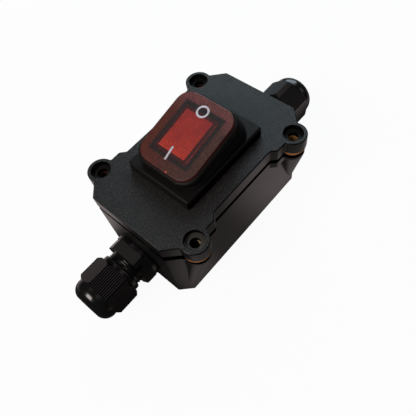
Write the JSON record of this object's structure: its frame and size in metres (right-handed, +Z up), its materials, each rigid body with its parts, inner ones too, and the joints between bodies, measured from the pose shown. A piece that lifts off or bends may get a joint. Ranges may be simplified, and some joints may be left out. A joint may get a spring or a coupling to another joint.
{
  "type": "waterproof switch box",
  "caption": "Sealed in-line switch box: eared two-part case, red lighted rocker on a rubber boot, and a dome-nut cable gland at each end.",
  "frame": {"origin": "middle of the base's underside", "axes": "+X along the cable run towards the end whose side of the rocker is up, +Z up through the switch"},
  "size_m": [0.1118, 0.049, 0.0467],
  "materials": {
    "case_plastic": "fine spark-eroded grain on the lid, satin walls",
    "switch_plastic": "soft satin black",
    "cap_plastic": "translucent red, polished",
    "lamp_glass": "clear",
    "boot_rubber": "matte black",
    "washer_rubber": "matte orange",
    "gland_nylon": "glossy black",
    "contact_brass": "bright",
    "spring_steel": "bright wire",
    "resistor_ceramic": "beige"
  },
  "bodies": {
    "case": {"base_shell": "case_plastic", "lid": "case_plastic", "switch_housing": "switch_plastic", "switch_bezel": "switch_plastic", "boot_bellows": "boot_rubber", "lid_gasket": "boot_rubber", "gland_seal_near": "boot_rubber", "gland_seal_far": "boot_rubber", "gland_gasket_near": "boot_rubber", "gland_gasket_far": "boot_rubber", "screw_washers": "washer_rubber", "gland_body_near": "gland_nylon", "gland_body_far": "gland_nylon", "gland_locknut_near": "gland_nylon", "gland_locknut_far": "gland_nylon", "common_terminal_left": "contact_brass", "common_terminal_right": "contact_brass", "load_terminal_left": "contact_brass", "load_terminal_right": "contact_brass"},
    "rocker": {"rocker_frame": "switch_plastic", "rocker_cap": "cap_plastic", "indicator_lamp": "lamp_glass", "lamp_resistor": "resistor_ceramic", "plunger_left": "switch_plastic", "plunger_right": "switch_plastic", "plunger_spring_left": "spring_steel", "plunger_spring_right": "spring_steel"},
    "left_contact": {"contact_seesaw_left": "contact_brass"},
    "right_contact": {"contact_seesaw_right": "contact_brass"},
    "near_nut": {"gland_nut_near": "gland_nylon"},
    "far_nut": {"gland_nut_far": "gland_nylon"}
  },
  "joints": [
    {"name": "rocker_tilt", "type": "hinge", "parent": "case", "child": "rocker", "pos_m": [0, 0, 0.03335], "axis": [0, 1, 0], "range_deg": [0, 26], "deforming": ["boot_bellows"]},
    {"name": "left_contact_tilt", "type": "hinge", "parent": "case", "child": "left_contact", "pos_m": [0, 0, 0.02305], "axis": [0, 1, 0], "range_deg": [-16, 0]},
    {"name": "right_contact_tilt", "type": "hinge", "parent": "case", "child": "right_contact", "pos_m": [0, 0, 0.02305], "axis": [0, 1, 0], "range_deg": [-16, 0]},
    {"name": "near_nut_turn", "type": "hinge", "parent": "case", "child": "near_nut", "pos_m": [-0.048, 0, 0.0127], "axis": [-1, 0, 0], "continuous": true},
    {"name": "far_nut_turn", "type": "hinge", "parent": "case", "child": "far_nut", "pos_m": [0.048, 0, 0.0127], "axis": [1, 0, 0], "continuous": true}
  ],
  "couplings": [
    {"joint": "left_contact_tilt", "follows": "rocker_tilt", "ratio": -0.6153},
    {"joint": "right_contact_tilt", "follows": "rocker_tilt", "ratio": -0.6153}
  ]
}
